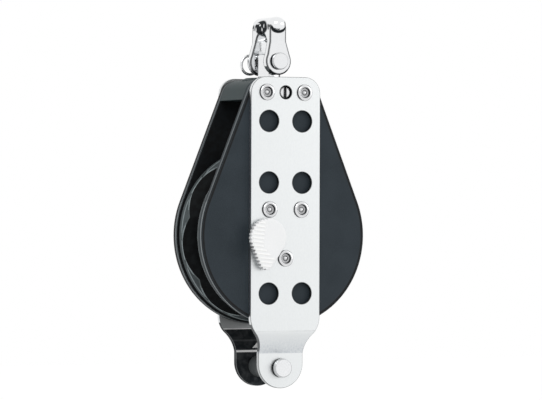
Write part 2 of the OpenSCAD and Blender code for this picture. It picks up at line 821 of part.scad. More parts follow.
front_strap();
rear_strap();
front_cheek();
rear_cheek();
head_block();
head_rivets();
hub_rivets();
set_screw();
hub();
sheave();
ratchet_ring();
front_balls();
rear_balls();
pawl();
pawl_pin();
pawl_spring();
switch_knob();
switch_crank();
swivel_post();
thrust_washer();
shackle();
shackle_pin();
shackle_ring();
becket_pin();
becket_sleeve();
becket_ring();
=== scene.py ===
# Ratchet block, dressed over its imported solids. X runs across the block, Y along the axle with the
# thumb lever at -Y, Z up to the shackle. Sizes in the dictionaries are millimetres and degrees.
import re
from functools import partial
from itertools import accumulate
from math import asin, cos, degrees, hypot, pi, radians, sin, sqrt

import bmesh
import bpy
from mathutils import Matrix, Vector
from mathutils.kdtree import KDTree


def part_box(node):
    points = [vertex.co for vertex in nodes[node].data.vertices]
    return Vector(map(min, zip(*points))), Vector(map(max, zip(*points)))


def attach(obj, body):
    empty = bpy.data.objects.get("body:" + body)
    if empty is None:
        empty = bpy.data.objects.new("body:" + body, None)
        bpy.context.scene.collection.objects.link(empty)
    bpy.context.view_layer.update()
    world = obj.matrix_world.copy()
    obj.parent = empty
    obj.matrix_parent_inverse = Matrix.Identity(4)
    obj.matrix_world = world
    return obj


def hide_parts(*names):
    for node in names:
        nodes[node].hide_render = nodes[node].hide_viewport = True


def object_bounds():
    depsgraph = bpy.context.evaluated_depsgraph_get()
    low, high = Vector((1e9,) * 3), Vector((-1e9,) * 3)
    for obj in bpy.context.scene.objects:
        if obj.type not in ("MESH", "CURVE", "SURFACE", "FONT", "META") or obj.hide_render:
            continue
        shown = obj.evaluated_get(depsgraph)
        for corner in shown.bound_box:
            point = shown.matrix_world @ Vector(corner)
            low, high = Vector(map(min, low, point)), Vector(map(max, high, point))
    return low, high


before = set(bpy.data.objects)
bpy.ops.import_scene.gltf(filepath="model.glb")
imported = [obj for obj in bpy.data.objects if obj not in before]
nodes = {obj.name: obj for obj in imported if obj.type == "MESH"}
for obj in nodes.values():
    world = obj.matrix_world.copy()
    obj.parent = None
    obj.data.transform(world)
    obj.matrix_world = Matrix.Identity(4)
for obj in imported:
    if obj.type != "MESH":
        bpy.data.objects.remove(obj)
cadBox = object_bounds()
scene = bpy.context.scene
mm = 0.001


def linked(name, data):
    # a new object in the scene
    item = bpy.data.objects.new(name, data)
    scene.collection.objects.link(item)
    return item


def adjusted(item, settings):
    for name, value in settings.items():
        setattr(item, name, value)
    return item


# camera
camera = {"azimuth": -26.0, "elevation": 0.35, "roll": 0.18, "distance": 1500.0,
          "focalPixels": 3481.6, "originPixel": (268.5, 235.3), "pictureSize": (542, 400), "sensor": 36,
          "clip": (0.05, 20)}


def placeCamera(settings):
    azimuth, elevation, roll = (radians(settings[k]) for k in ("azimuth", "elevation", "roll"))
    back = Vector((sin(azimuth) * cos(elevation), -cos(azimuth) * cos(elevation),
                   sin(elevation)))
    right = Vector((cos(azimuth), sin(azimuth), 0))
    up = back.cross(right)
    turnedRight = right * cos(roll) + up * sin(roll)
    turnedUp = up * cos(roll) - right * sin(roll)
    # the middle of the picture looks at a point up and right of the origin
    perPixel = settings["distance"] / settings["focalPixels"]
    width, height = settings["pictureSize"]
    aim = (turnedRight * (width / 2 - settings["originPixel"][0])
           + turnedUp * (settings["originPixel"][1] - height / 2)) * perPixel
    place = back * settings["distance"]
    away = (place - aim).normalized()
    side = turnedUp.cross(away).normalized()
    lens = bpy.data.cameras.new("portraitLens")
    lens.sensor_width = settings["sensor"]
    lens.sensor_fit = "HORIZONTAL"
    lens.lens = settings["focalPixels"] * settings["sensor"] / width
    lens.clip_start, lens.clip_end = settings["clip"]
    holder = linked("portraitCamera", lens)
    holder.matrix_world = Matrix.LocRotScale(
        place * mm, Matrix((side, away.cross(side), away)).transposed().to_quaternion(), None)
    scene.camera = holder


placeCamera(camera)
print("camera placed")


# small helpers for node trees
def wire(tree, source, target):
    tree.links.new(source, target)


def feed(tree, node, inputs):
    # each input, by name or number, takes the socket of another node or a plain value
    for label, value in inputs.items():
        if hasattr(value, "links"):
            wire(tree, value, node.inputs[label])
        else:
            node.inputs[label].default_value = value


def put(tree, kind, place, inputs=None, **settings):
    node = adjusted(tree.nodes.new(kind), {"location": place, **settings})
    feed(tree, node, inputs or {})
    return node


def mathNode(tree, operation, place, *values):
    return put(tree, "ShaderNodeMath", place, dict(enumerate(values)), operation=operation).outputs[0]


def vectorMath(tree, operation, place, *values):
    node = put(tree, "ShaderNodeVectorMath", place, dict(enumerate(values)), operation=operation)
    return node.outputs["Value" if operation == "LENGTH" else "Vector"]


def mixed(tree, place, share, first, second):
    return put(tree, "ShaderNodeMix", place, {0: share, 2: first, 3: second}, data_type="FLOAT").outputs[0]


def mixedColour(tree, place, share, first, second):
    return put(tree, "ShaderNodeMix", place, {0: share, 6: first, 7: second}, data_type="RGBA").outputs[2]


def noise(tree, place, vector, scale, detail=2, roughness=0.5):
    return put(tree, "ShaderNodeTexNoise", place,
               {"Vector": vector, "Scale": scale, "Detail": detail, "Roughness": roughness}).outputs["Fac"]


def ranged(tree, place, value, low, high, start=0.3, end=0.7):
    return put(tree, "ShaderNodeMapRange", place,
               {"Value": value, "From Min": start, "From Max": end, "To Min": low, "To Max": high},
               clamp=True).outputs[0]


def newTree(name, kind, inputs, outputs):
    # inputs and outputs: the names of the sockets of each kind
    tree = bpy.data.node_groups.new(name, kind)
    for way, sockets in (("INPUT", inputs), ("OUTPUT", outputs)):
        for socketKind, labels in sockets.items():
            for label in labels:
                tree.interface.new_socket(name=label, in_out=way, socket_type="NodeSocket" + socketKind)
    return tree, put(tree, "NodeGroupInput", (-1200, 0)).outputs, put(tree, "NodeGroupOutput", (1200, 0))


# shader groups that several finishes share
def buildGrain():
    # fine directional grain: noise squeezed along one axis, with a slower cloud over it
    group, given, out = newTree("directionalGrain", "ShaderNodeTree",
                                {"Vector": ("Vector", "Stretch"),
                                 "Float": ("Grain Scale", "Cloud Scale", "Cloud Share")},
                                {"Float": ("Grain", "Mix")})
    squeezed = vectorMath(group, "MULTIPLY", (-650, 120), given["Vector"], given["Stretch"])
    fine = noise(group, (-400, 160), squeezed, given["Grain Scale"], 3, 0.65)
    cloud = noise(group, (-400, -140), given["Vector"], given["Cloud Scale"])
    feed(group, out, {"Grain": fine, "Mix": mixed(group, (150, 0), given["Cloud Share"], fine, cloud)})
    return group


def buildRings():
    # fine turned rings about an axis along Y or Z, broken up by noise
    group, given, out = newTree("turnedRings", "ShaderNodeTree",
                                {"Vector": ("Vector", "Axis"), "Float": ("Rings per Metre", "Unevenness")},
                                {"Float": ("Rings",)})
    along = vectorMath(group, "MULTIPLY", (-680, 150), given["Vector"], given["Axis"])
    across = vectorMath(group, "SUBTRACT", (-500, 60), given["Vector"], along)
    total = mathNode(group, "ADD", (-140, 120), vectorMath(group, "LENGTH", (-320, 60), across),
                     vectorMath(group, "LENGTH", (-320, 220), along))
    turns = mathNode(group, "MULTIPLY", (20, 120), total, given["Rings per Metre"])
    bands = put(group, "ShaderNodeTexNoise", (180, 160), {"W": turns, "Scale": 1, "Detail": 2},
                noise_dimensions="1D").outputs["Fac"]
    speck = noise(group, (180, -120), given["Vector"], 900)
    feed(group, out, {"Rings": mixed(group, (420, 0), given["Unevenness"], bands, speck)})
    return group


def buildPaintedLight():
    # a mask above 0 paints shade, pulling a spot towards the finish's dark tone; below 0 it paints a
    # highlight, towards its light one
    group, given, out = newTree("paintedShadeAndHighlight", "ShaderNodeTree",
                                {"Vector": ("Vector",), "Color": ("Base", "Dark", "Light"),
                                 "Float": ("Evenness", "Scale")},
                                {"Color": ("Color",), "Float": ("Shade Share", "Highlight Share")})
    spot = put(group, "ShaderNodeAttribute", (-850, 200), attribute_name="paintedLightMask").outputs["Fac"]
    mottle = noise(group, (-850, -100), given["Vector"], given["Scale"], 3)
    patchy = ranged(group, (-650, -100), mottle, 0, 1, 0.35, 0.6)
    darker = mathNode(group, "MULTIPLY", (-250, 50), spot,
                      mixed(group, (-450, -100), given["Evenness"], patchy, 1))
    lighter = mathNode(group, "MULTIPLY", (-80, 250), darker, -1)
    shaded = mixedColour(group, (100, 0), darker, given["Base"], given["Dark"])
    feed(group, out, {"Color": mixedColour(group, (350, 0), lighter, shaded, given["Light"])})
    for label, share, height in (("Shade Share", darker, 250), ("Highlight Share", lighter, 420)):
        feed(group, out, {label: put(group, "ShaderNodeClamp", (500, height), {"Value": share}).outputs[0]})
    return group


def buildSpeckle():
    # moulded mottle: coarse and fine noise that shift a colour and a roughness
    group, given, out = newTree("mouldedSpeckle", "ShaderNodeTree",
                                {"Vector": ("Vector",), "Color": ("Dark", "Light"),
                                 "Float": ("Fine Scale", "Coarse Scale", "Low Roughness", "High Roughness")},
                                {"Color": ("Color",), "Float": ("Roughness", "Height")})
    fine = noise(group, (-600, 200), given["Vector"], given["Fine Scale"])
    coarse = noise(group, (-600, -60), given["Vector"], given["Coarse Scale"], 3)
    spread = ranged(group, (-150, 80), mixed(group, (-350, 80), 0.5, fine, coarse), 0, 1, 0.35, 0.65)
    feed(group, out, {"Color": mixedColour(group, (100, 160), spread, given["Dark"], given["Light"]),
                      "Roughness": mixed(group, (100, -60), spread, given["Low Roughness"],
                                         given["High Roughness"]),
                      "Height": fine})
    return group


grainGroup = buildGrain()
ringGroup = buildRings()
paintedLightGroup = buildPaintedLight()
speckleGroup = buildSpeckle()
print("shader groups built")


# materials
def emptied(owner):
    # the node tree of a material or a world, cleared
    owner.use_nodes = True
    owner.node_tree.nodes.clear()
    return owner.node_tree


def startMaterial(name):
    material = bpy.data.materials.new(name)
    tree = emptied(material)
    shader = put(tree, "ShaderNodeBsdfPrincipled", (300, 0))
    put(tree, "ShaderNodeOutputMaterial", (600, 0), {0: shader.outputs[0]})
    return material, tree, shader, put(tree, "ShaderNodeTexCoord", (-1100, 0)).outputs["Object"]


def addGroup(tree, group, place, inputs):
    return put(tree, "ShaderNodeGroup", place, inputs, node_tree=group).outputs


def addBump(tree, shader, height, strength, distance):
    bump = put(tree, "ShaderNodeBump", (50, -300),
               {"Strength": strength, "Distance": distance * mm, "Height": height})
    feed(tree, shader, {"Normal": bump.outputs[0]})


# what all metals and all mouldings share; the depth of their bumps is in millimetres; a metal's painted shade
# takes the dark tone, its painted highlights the light one
metalLook = {"cloudScale": 70.0, "cloudShare": 0.35, "ringUnevenness": 0.35, "ringShare": 0.6,
             "dark": (0.02, 0.024, 0.027, 1), "light": (0.92, 0.92, 0.92, 1), "dullRoughness": 0.75,
             "highlightMetallic": -0.85, "slantShadeMottle": (0.2, 1.6), "bumpDepth": 0.02}
mouldedLook = {"coarseScale": 80.0, "bumpDepth": 0.03}
spotScale = 420.0


def metalFinish(name, dark, light, roughness, bump, grainScale=1500.0, stretch=(1, 1, 1), rings=None,
                slantShade=None, evenness=0.6):
    # bare metal: grain or turned rings shift its tone and roughness a little; a mask paints shade and
    # highlights on it
    material, tree, shader, coords = startMaterial(name)
    grain = addGroup(tree, grainGroup, (-850, 100),
                     {"Vector": coords, "Stretch": stretch, "Grain Scale": grainScale,
                      "Cloud Scale": metalLook["cloudScale"], "Cloud Share": metalLook["cloudShare"]})
    pattern, height = grain["Mix"], grain["Grain"]
    if rings:
        turned = addGroup(tree, ringGroup, (-850, -200),
                          {"Vector": coords, "Axis": rings["axis"], "Rings per Metre": rings["perMetre"],
                           "Unevenness": metalLook["ringUnevenness"]})
        pattern = height = mixed(tree, (-600, -60), metalLook["ringShare"], pattern, turned["Rings"])
    colour = mixedColour(tree, (-200, 160), ranged(tree, (-400, 160), pattern, 0, 1), (*dark, 1), (*light, 1))
    if slantShade:
        # painted shade: a grey mottled darkening that gathers towards one height, the strap's lower bend
        level = put(tree, "ShaderNodeSeparateXYZ", (-850, 420), {0: coords}).outputs["Z"]
        band = ranged(tree, (-650, 420), level, 0, slantShade["amount"], slantShade["from"] * mm, slantShade["to"] * mm)
        mottle = ranged(tree, (-450, 560), grain["Grain"], *metalLook["slantShadeMottle"])
        above = mathNode(tree, "GREATER_THAN", (-650, 620), level, slantShade["to"] * mm)
        share = mathNode(tree, "MULTIPLY", (-100, 500),
                         mathNode(tree, "MULTIPLY", (-250, 500), band, mottle), above)
        colour = mixedColour(tree, (0, 300), share, colour, (*slantShade["tone"], 1))
    spots = addGroup(tree, paintedLightGroup, (120, 200),
                     {"Vector": coords, "Base": colour, "Dark": metalLook["dark"],
                      "Light": metalLook["light"], "Evenness": evenness, "Scale": spotScale})
    bare = ranged(tree, (-400, -60), pattern, roughness[1], roughness[0])
    dulled = mixed(tree, (120, -100), spots["Shade Share"], bare, metalLook["dullRoughness"])
    # painted highlights scatter light as well as mirror it
    metallic = mathNode(tree, "MULTIPLY_ADD", (120, -260), spots["Highlight Share"], metalLook["highlightMetallic"], 1)
    feed(tree, shader, {"Base Color": spots["Color"], "Roughness": dulled, "Metallic": metallic})
    addBump(tree, shader, height, bump, metalLook["bumpDepth"])
    return material


def mouldedFinish(name, dark, light, paintedHighlight, roughness, bump, fineScale=1500.0, specular=0.5, evenness=0.8,
                  paintedShade=(0.0012, 0.0016, 0.002)):
    # moulded plastic or composite: speckle, with painted shade and painted highlights where the mesh says so
    material, tree, shader, coords = startMaterial(name)
    speckle = addGroup(tree, speckleGroup, (-850, 100),
                       {"Vector": coords, "Dark": (*dark, 1), "Light": (*light, 1),
                        "Fine Scale": fineScale, "Coarse Scale": mouldedLook["coarseScale"],
                        "Low Roughness": roughness[0], "High Roughness": roughness[1]})
    spots = addGroup(tree, paintedLightGroup, (-500, 200),
                     {"Vector": coords, "Base": speckle["Color"], "Dark": (*paintedShade, 1),
                      "Light": (*paintedHighlight, 1), "Evenness": evenness, "Scale": spotScale})
    feed(tree, shader, {"Base Color": spots["Color"], "Roughness": speckle["Roughness"],
                        "Specular IOR Level": specular})
    addBump(tree, shader, speckle["Height"], bump, mouldedLook["bumpDepth"])
    return material


metals = {
    "satinStainless": {
        "dark": (0.725, 0.745, 0.75), "light": (0.775, 0.795, 0.8), "roughness": (0.28, 0.36),
        "stretch": (1, 1, 0.5), "bump": 0.03, "evenness": 0.95,
        # painted shade on the strap's slant, darkest just above the lower bend
        "slantShade": {"from": -41.0, "to": -50.3, "amount": 0.42, "tone": (0.38, 0.42, 0.47)}},
    "polishedStainless": {
        "dark": (0.78, 0.79, 0.8), "light": (0.86, 0.87, 0.88), "roughness": (0.08, 0.13),
        "grainScale": 1400.0, "bump": 0.02, "evenness": 1.0},
    "rivetStainless": {
        "dark": (0.7, 0.71, 0.72), "light": (0.84, 0.84, 0.85), "roughness": (0.12, 0.2),
        "grainScale": 1600.0, "bump": 0.03, "evenness": 0.9},
    "ballSteel": {
        "dark": (0.72, 0.73, 0.75), "light": (0.86, 0.87, 0.88), "roughness": (0.04, 0.08),
        "grainScale": 1200.0, "bump": 0.02},
    "ratchetBronze": {
        "dark": (0.5, 0.32, 0.13), "light": (0.68, 0.46, 0.2), "roughness": (0.25, 0.4), "bump": 0.08,
        "rings": {"axis": (0, 1, 0), "perMetre": 4000.0}},
    "ratchetSteel": {
        "dark": (0.42, 0.42, 0.43), "light": (0.6, 0.6, 0.61), "roughness": (0.22, 0.36),
        "stretch": (1, 1, 0.3), "bump": 0.06},
}
# each moulding's third tone is the one its painted highlights take
mouldings = {
    "blackCheek": {
        "dark": (0.013, 0.02, 0.026), "light": (0.024, 0.033, 0.041), "paintedHighlight": (0.2, 0.225, 0.235),
        "roughness": (0.5, 0.62), "fineScale": 2200.0, "bump": 0.12, "specular": 0.22, "evenness": 0.85},
    "headMoulding": {
        "dark": (0.029, 0.042, 0.044), "light": (0.045, 0.062, 0.065), "paintedHighlight": (0.2, 0.22, 0.22),
        "roughness": (0.42, 0.56), "bump": 0.12, "specular": 0.12},
    "hubMoulding": {
        "dark": (0.05, 0.05, 0.055), "light": (0.08, 0.08, 0.085), "paintedHighlight": (0.15, 0.15, 0.15),
        "roughness": (0.45, 0.6), "bump": 0.12},
    "blackAnodised": {
        "dark": (0.012, 0.016, 0.018), "light": (0.024, 0.03, 0.032), "paintedHighlight": (0.26, 0.3, 0.31),
        "roughness": (0.38, 0.5), "fineScale": 2000.0, "bump": 0.05, "specular": 0.08},
    "whiteSwitch": {
        "dark": (0.825, 0.835, 0.84), "light": (0.86, 0.865, 0.87), "paintedHighlight": (0.92, 0.92, 0.91),
        "roughness": (0.34, 0.45), "fineScale": 1300.0, "bump": 0.03, "specular": 0.4, "evenness": 0.7,
        "paintedShade": (0.1, 0.1, 0.11)},
    "greySleeve": {
        "dark": (0.04, 0.046, 0.048), "light": (0.066, 0.073, 0.075), "paintedHighlight": (0.18, 0.19, 0.19),
        "roughness": (0.38, 0.5), "bump": 0.08, "specular": 0.35},
}
finishes = {name: metalFinish(name, **look) for name, look in metals.items()}
finishes.update({name: mouldedFinish(name, **look) for name, look in mouldings.items()})
# the names of the finishes, with underscores
slotNames = {name: re.sub("([A-Z])", r"_\1", name).lower() for name in finishes}
print("materials made:", len(finishes))


# making and adding pieces
def addPiece(name, mesh, body, finish, replaced=()):
    mesh.materials.clear()
    mesh.materials.append(finishes[finish])
    piece = linked(name, mesh)
    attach(piece, body)
    if replaced:
        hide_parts(*replaced)


def opened(mesh):
    shell = bmesh.new()
    shell.from_mesh(mesh)
    return shell


def closed(shell, mesh):
    shell.to_mesh(mesh)
    shell.free()
    return mesh


def ringedSolid(name, rings, count, capped=True):
    # a skin over rings of points, with count faces from each to the next; a ring of one point is a tip
    shell = bmesh.new()
    rings = [[shell.verts.new(spot) for spot in ring] for ring in rings]
    for low, high in zip(rings, rings[1:]):
        for i in range(count):
            corners = [low[i % len(low)], low[(i + 1) % len(low)],
                       high[(i + 1) % len(high)], high[i % len(high)]]
            shell.faces.new(list(dict.fromkeys(corners)))
    if capped:
        shell.faces.new(rings[0])
        shell.faces.new(rings[-1])
    bmesh.ops.recalc_face_normals(shell, faces=shell.faces)
    return closed(shell, bpy.data.meshes.new(name))


def cutShell(shell, place, normal, parts=None, gap=0.001):
    # cuts the parts, or everything, along a plane
    parts = parts or shell.verts[:] + shell.edges[:] + shell.faces[:]
    bmesh.ops.bisect_plane(shell, geom=parts, dist=gap * mm, plane_co=place, plane_no=normal)


def maskTones(mesh, values, domain="FACE"):
    mesh.attributes.new("paintedLightMask", "FLOAT", domain).data.foreach_set("value", values)


def modify(holder, name, kind, **settings):
    return adjusted(holder.modifiers.new(name, kind), settings)


def evaluatedMesh(holder, name):
    # the modifiers' result as a plain mesh; the holder goes
    graph = bpy.context.evaluated_depsgraph_get()
    mesh = bpy.data.meshes.new_from_object(holder.evaluated_get(graph), preserve_all_data_layers=True,
                                           depsgraph=graph)
    mesh.name = name
    old = holder.data
    bpy.data.objects.remove(holder)
    if old.users == 0:
        bpy.data.meshes.remove(old)
    return mesh


def mergedCopy(node, flat=0.6, gap=0.002):
    # a CAD node's loose triangles, joined up and with flat areas made whole
    shell = opened(nodes[node].data)
    bmesh.ops.remove_doubles(shell, verts=shell.verts, dist=gap * mm)
    bmesh.ops.dissolve_limit(shell, angle_limit=radians(flat), verts=shell.verts,
                             edges=shell.edges)
    return closed(shell, bpy.data.meshes.new(node + "Copy"))


# kinds of face: 0 plain, 1 a rounding, 2 marked before the edges were rounded
faceKinds = ("plainFace", "edgeFace", "markedFace")


def roundEdges(mesh, name, width, limit):
    # rounds the sharp edges and gives each face's kind
    holder = linked(name + "Holder", mesh)
    marks = [bpy.data.materials.new(kind) for kind in faceKinds]
    for mark in marks:
        mesh.materials.append(mark)
    modify(holder, "roundedEdges", "BEVEL", width=width * mm, segments=3, limit_method=limit,
           angle_limit=radians(sharpAngle), use_clamp_overlap=False, material=1)
    modify(holder, "faceAreaNormals", "WEIGHTED_NORMAL", keep_sharp=True)
    mesh.shade_smooth()
    result = evaluatedMesh(holder, name)
    kinds = [face.material_index for face in result.polygons]
    result.polygons.foreach_set("material_index", [0] * len(kinds))
    for mark in marks:
        bpy.data.materials.remove(mark)
    return result, kinds


def dressNode(node, name, body, finish, width, rule=None, tones=None, prepare=None, gap=0.002,
              limit="ANGLE"):
    # rule: from a face's middle in millimetres, its normal and its kind to the name of its tone of painted
    # shade or highlight
    plain = mergedCopy(node, gap=gap)
    if prepare:
        shell = opened(plain)
        prepare(shell)
        closed(shell, plain)
    mesh, kinds = roundEdges(plain, name, width, limit)
    if rule:
        maskTones(mesh, [tones.get(rule(face.center / mm, face.normal, kind), 0)
                         for face, kind in zip(mesh.polygons, kinds)])
    addPiece(name, mesh, body, finish, [node])


# plates, cheeks, head and sheave; edges sharper than sharpAngle are rounded
sharpAngle = 28
edgeRounds = {"strap": 0.2, "cheek": 0.4, "head": 0.4, "sheave": 0.25, "post": 0.35,
              "shacklePinTurned": 0.35, "becketPinTurned": 0.4, "sleeve": 0.3, "screw": 0.12}

# tones: above 0 painted shade, below 0 painted highlight; marks: where they lie, in millimetres and by the
# normal
strapTones = {"rim": 0.75, "holeWall": 1.0, "holeRim": 0.6, "slantWall": 0.8, "tabWall": 0.35,
              "rearWall": 1.0, "innerUpper": 0.5, "innerLower": 1.0, "bendLine": -0.85, "streak": 0.93,
              "corner": -1.0}
strapMarks = {"facing": 0.45, "holesWithin": 13.2, "holesBetween": (-40, 66), "wallsBelow": -38,
              "tabBelow": -50, "innerFrom": -40.9, "bend": (0.02, 0.42), "bendBright": 0.24, "slant": 0.3,
              "slantFacing": 0.6, "streak": (-45.2, -46.0), "corner": (-4.0, -50.3, 0.2, -46.6)}


def strapRule(place, normal, kind):
    marks, facing, steep = strapMarks, abs(normal.y), abs(normal.z)
    low, high = marks["holesBetween"]
    inHole = abs(place.x) < marks["holesWithin"] and low < place.z < high
    if facing < marks["facing"] and inHole:
        return "holeWall"
    if kind:
        return "holeRim" if inHole else "rim"
    if normal.y * (1 if place.y > 0 else -1) >= -marks["facing"]:
        # the outer face, or a wall
        if facing > marks["facing"] or place.z > marks["wallsBelow"]:
            return None
        frontWall = "slantWall" if place.z > marks["tabBelow"] else "tabWall"
        return "rearWall" if place.y > 0 else frontWall
    # painted highlights on the bends, painted shade on the inner faces
    if marks["bend"][0] < steep < marks["bend"][1]:
        return "bendLine" if steep < marks["bendBright"] else "innerLower"
    if place.z > marks["innerFrom"]:
        return "innerUpper"
    if steep > marks["slant"]:
        # a painted streak, less dark, across the slant, and a painted highlight on the corner below it
        high, low = marks["streak"]
        if low < place.z < high:
            return "streak"
        x0, z0, x1, z1 = marks["corner"]
        if place.z < low and (place.x - x0) * (z1 - z0) > (place.z - z0) * (x1 - x0):
            return "corner"
    return "innerLower"


def markSlant(shell):
    # cuts for the painted streak and the painted highlight in the corner on the inner side of a strap's slant
    x0, z0, x1, z1 = strapMarks["corner"]
    planes = [((0, 0, z * mm), (0, 0, 1)) for z in strapMarks["streak"]]
    planes.append(((x0 * mm, 0, z0 * mm), (z1 - z0, 0, x0 - x1)))
    for place, normal in planes:
        inner = [f for f in shell.faces
                 if abs(f.normal.z) > strapMarks["slant"] and abs(f.normal.y) > strapMarks["slantFacing"]
                 and f.normal.y * f.calc_center_median().y < 0]
        edges = {e for f in inner for e in f.edges}
        verts = {v for f in inner for v in f.verts}
        cutShell(shell, place, normal, [*verts, *edges, *inner])


def insetMarked(shell, faces, width):
    # a border inside the faces, marked so that a rule can find it
    bands = bmesh.ops.inset_region(shell, faces=faces, thickness=width * mm, use_even_offset=True,
                                   use_boundary=True)
    for face in bands["faces"]:
        face.material_index = 2


# a painted highlight, the wall's light line, runs nearer to the camera on each side; the outer face has a
# painted shade border, and the inner faces and rims are painted dark
cheekTones = {"inside": 1.0, "rim": 1.0, "border": 1.0, "wall": 0.1, "line": -1.0, "upperLine": -0.55}
cheekMarks = {"facing": 0.8, "upperFrom": 20, "innerRimWithin": 12, "outerFrom": 14,
              "outerFacing": 0.99, "borderWidth": 1.3, "mergeGap": 0.04,
              "lines": {"near": (12.95, 14.15), "far": (11.35, 12.4)}}


def cheekRule(place, normal, kind):
    if kind == 2:
        return "border"
    if abs(normal.y) > cheekMarks["facing"]:
        return "inside" if normal.y * place.y < 0 else None
    line = "upperLine" if place.z > cheekMarks["upperFrom"] else "line"
    if kind:
        return line if 0 < place.y < cheekMarks["innerRimWithin"] else "rim"
    low, high = cheekMarks["lines"]["near" if place.y < 0 else "far"]
    if low < abs(place.y) < high:
        return line
    return "wall" if abs(place.y) < low else "rim"


def markCheek(shell):
    # cuts round the cheek's wall for the painted highlight line, and a painted shade border on its outer face
    side = 1 if shell.verts[:][0].co.y > 0 else -1
    outer = [face for face in shell.faces if face.normal.y * side > cheekMarks["outerFacing"]
             and abs(face.calc_center_median().y) > cheekMarks["outerFrom"] * mm]
    insetMarked(shell, outer, cheekMarks["borderWidth"])
    for depth in cheekMarks["lines"]["near" if side < 0 else "far"]:
        cutShell(shell, (0, side * depth * mm, 0), (0, 1, 0))


# painted highlights on the rim, its edge line and the cone; painted shade on the groove's facets
sheaveTones = {"rimLine": -1.0, "rim": -0.25, "cone": -0.26, "coneLow": -0.14, "coneEdge": -0.35,
               "facet": 1.0}
sheaveMarks = {"coneFacing": 0.707, "coneSpread": 0.06, "rimRadius": 36.9, "rimLineFrom": 36.3,
               "rimFacing": 0.5, "mouth": 8.6, "rootRadius": 27.5, "sharp": 18}


def inGroove(place):
    return abs(place.y) < sheaveMarks["mouth"] and hypot(place.x, place.z) > sheaveMarks["rootRadius"]


def sheaveRule(place, normal, kind):
    radius = hypot(place.x, place.z)
    facing = abs(normal.y)
    if kind:
        return "rimLine" if radius > sheaveMarks["rimLineFrom"] else "coneEdge"
    if radius > sheaveMarks["rimRadius"] and facing < sheaveMarks["rimFacing"]:
        return "rim"
    if not inGroove(place):
        return None
    # the turned cone shows between the facets; it gets a painted highlight, the facets painted shade
    if abs(facing - sheaveMarks["coneFacing"]) < sheaveMarks["coneSpread"]:
        return "cone" if place.z > 0 else "coneLow"
    return "facet"


def markEdges(angle, chosen, shell):
    # gives the sharp edges that are to be rounded their weight
    weight = shell.edges.layers.float.new("bevel_weight_edge")
    for edge in shell.edges:
        if len(edge.link_faces) == 2 and degrees(edge.calc_face_angle(0)) > angle:
            edge[weight] = float(chosen(edge))


def grooveEdge(edge):
    # the rim's corners are round already
    return inGroove((edge.verts[0].co + edge.verts[1].co) / 2 / mm)


for side in ("front", "rear"):
    dressNode(side + "_strap", side + "StrapPlate", "frame", "satinStainless", edgeRounds["strap"],
              strapRule, strapTones, markSlant)
    dressNode(side + "_cheek", side + "CheekShell", "frame", "blackCheek", edgeRounds["cheek"],
              cheekRule, cheekTones, markCheek, cheekMarks["mergeGap"])
dressNode("head_block", "headMouldingBlock", "frame", "headMoulding", edgeRounds["head"],
          prepare=partial(markEdges, sharpAngle, lambda edge: edge.is_convex), limit="WEIGHT")
dressNode("sheave", "grooveSheave", "sheave", "blackAnodised", edgeRounds["sheave"], sheaveRule,
          sheaveTones, partial(markEdges, sheaveMarks["sharp"], grooveEdge), limit="WEIGHT")
print("plates, cheeks, head and sheave dressed")


# how far out each pin's head gets painted shade, in Y, and the pins' tones
pinShade = {"shackle_pin": -10.5, "becket_pin": -13.5, "facing": 0.75, "dark": 1.0, "pale": 0.3, "rim": 0.5}
screwShade = {"border": 0.3, "borderTone": 0.95, "flankTone": 1, "endDepth": 0.15, "facing": 0.9}
# the sleeve's sides a little paler all over, its rounded edges painted highlights
sleeveTones = {"side": -0.19, "edge": -0.45}
screwEnds = [end.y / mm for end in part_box("set_screw")]


def pinRule(limit, place, normal, kind):
    # painted shade on a pin's flanks: dark near the plate, paler towards the faced end
    if abs(normal.y) > pinShade["facing"]:
        return "rim" if kind else None
    return "dark" if place.y > limit else "pale"


def sleeveRule(place, normal, kind):
    return "edge" if kind else "side"


def screwRule(place, normal, kind):
    # painted shade on all but the faced end: its border, the slot and the flank are dark
    if kind == 2:
        return "borderTone"
    atEnd = min(abs(place.y - end) for end in screwEnds) < screwShade["endDepth"]
    return None if atEnd and abs(normal.y) > screwShade["facing"] else "flankTone"


def markScrew(shell):
    reach = max(abs(vert.co.y) for vert in shell.verts)
    ends = [f for f in shell.faces if abs(f.normal.y) > screwShade["facing"]
            and abs(f.calc_center_median().y) > reach - screwShade["border"] * mm]
    insetMarked(shell, ends, screwShade["border"])


dressNode("swivel_post", "swivelStud", "post", "polishedStainless", edgeRounds["post"])
for node, name, body in (("shackle_pin", "shacklePinTurned", "post"),
                         ("becket_pin", "becketPinTurned", "frame")):
    limit = pinShade[node]
    dressNode(node, name, body, "polishedStainless", edgeRounds[name], partial(pinRule, limit),
              pinShade, partial(cutShell, place=(0, limit * mm, 0), normal=(0, 1, 0)))
dressNode("becket_sleeve", "becketRoller", "sleeve", "greySleeve", edgeRounds["sleeve"], sleeveRule,
          sleeveTones)
dressNode("set_screw", "slottedScrew", "frame", "rivetStainless", edgeRounds["screw"], screwRule,
          screwShade, markScrew)
print("post, pins, sleeve and screw dressed")


